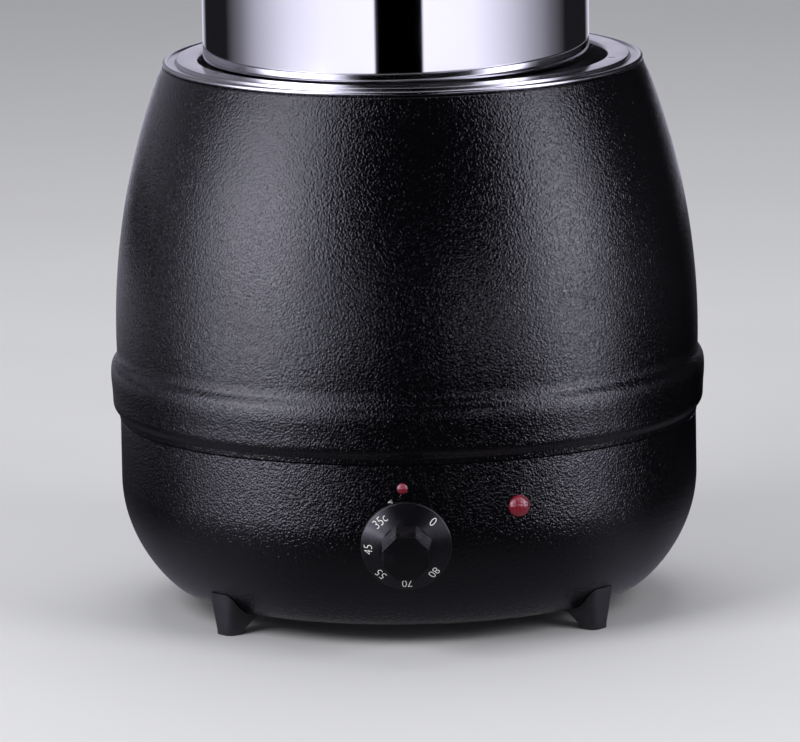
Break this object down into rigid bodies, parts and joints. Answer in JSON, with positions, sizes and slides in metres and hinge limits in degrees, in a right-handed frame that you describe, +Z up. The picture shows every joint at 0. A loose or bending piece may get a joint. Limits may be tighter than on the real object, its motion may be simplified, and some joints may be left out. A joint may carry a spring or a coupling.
{
  "type": "soup kettle warmer",
  "caption": "Round electric soup kettle: a black barrel casing on feet holds a water well, a polished pot and lid lift out, and a front dial with pilot lamps sets the heat.",
  "frame": {"origin": "on the surface the feet stand on, under the axis of the barrel casing", "axes": "+Z up along the casing's axis, -Y towards the front with its control knob, +X to the right seen from the front"},
  "size_m": [0.3396, 0.3782, 0.6034],
  "materials": {
    "black_powder_coat": "satin",
    "polished_steel": "polished",
    "satin_steel": "satin",
    "plated_steel": "satin",
    "black_plastic": "gloss",
    "foot_plastic": "matte",
    "red_lens": "gloss",
    "element_sheath": "matte",
    "white_ceramic": "matte",
    "copper": "satin",
    "grey_nylon": "matte"
  },
  "bodies": {
    "kettle": {"upper_casing": "black_powder_coat", "base_pan": "black_powder_coat", "bottom_cover": "black_powder_coat", "water_pan": "satin_steel", "thermostat_body": "grey_nylon", "thermostat_screw_left": "plated_steel", "thermostat_screw_right": "plated_steel", "thermostat_bulb": "copper", "bulb_clip": "plated_steel", "thermal_cutout": "white_ceramic", "power_lamp_lens": "red_lens", "power_lamp_body": "white_ceramic", "power_lamp_clip": "plated_steel", "heating_lamp_lens": "red_lens", "heating_lamp_body": "white_ceramic", "heating_lamp_clip": "plated_steel", "heating_element": "element_sheath", "element_clamp_bar": "plated_steel", "element_clamp_stud": "plated_steel", "element_clamp_nut": "plated_steel", "terminal_block": "white_ceramic", "terminal_block_screw": "plated_steel", "cord_gland_body": "grey_nylon", "cord_gland_dome_nut": "grey_nylon", "cord_gland_lock_nut": "grey_nylon", "lead_supply": "copper", "lead_switched": "copper", "lead_element_live": "copper", "lead_element_neutral": "copper", "lead_power_lamp": "copper", "lead_heating_lamp": "copper", "tie_rod_1": "plated_steel", "tie_rod_2": "plated_steel", "tie_rod_3": "plated_steel", "tie_rod_nut_1": "plated_steel", "tie_rod_nut_2": "plated_steel", "tie_rod_nut_3": "plated_steel", "bottom_cover_screw_1": "plated_steel", "bottom_cover_screw_2": "plated_steel", "bottom_cover_screw_3": "plated_steel", "foot_front_left": "foot_plastic", "foot_front_right": "foot_plastic", "foot_rear_right": "foot_plastic", "foot_rear_left": "foot_plastic", "foot_screw_front_left": "plated_steel", "foot_screw_front_right": "plated_steel", "foot_screw_rear_right": "plated_steel", "foot_screw_rear_left": "plated_steel", "foot_nut_front_left": "plated_steel", "foot_nut_front_right": "plated_steel", "foot_nut_rear_right": "plated_steel", "foot_nut_rear_left": "plated_steel"},
    "dial": {"control_knob": "black_plastic", "thermostat_shaft": "plated_steel"},
    "pot": {"soup_pot": "polished_steel"},
    "cover": {"lid": "polished_steel", "lid_knob": "black_plastic", "lid_knob_screw": "plated_steel"}
  },
  "joints": [
    {"name": "knob_turn", "type": "hinge", "parent": "kettle", "child": "dial", "pos_m": [-0.00229, -0.16409, 0.0646], "axis": [-0.0138, -0.9902, -0.1391], "range_deg": [-205, 65]},
    {"name": "pot_lift", "type": "slide", "parent": "kettle", "child": "pot", "axis": [0, 0, 1], "range_m": [-0.2389, 0.04]},
    {"name": "lid_lift", "type": "slide", "parent": "pot", "child": "cover", "axis": [0, 0, 1], "range_m": [0, 0.1]}
  ]
}
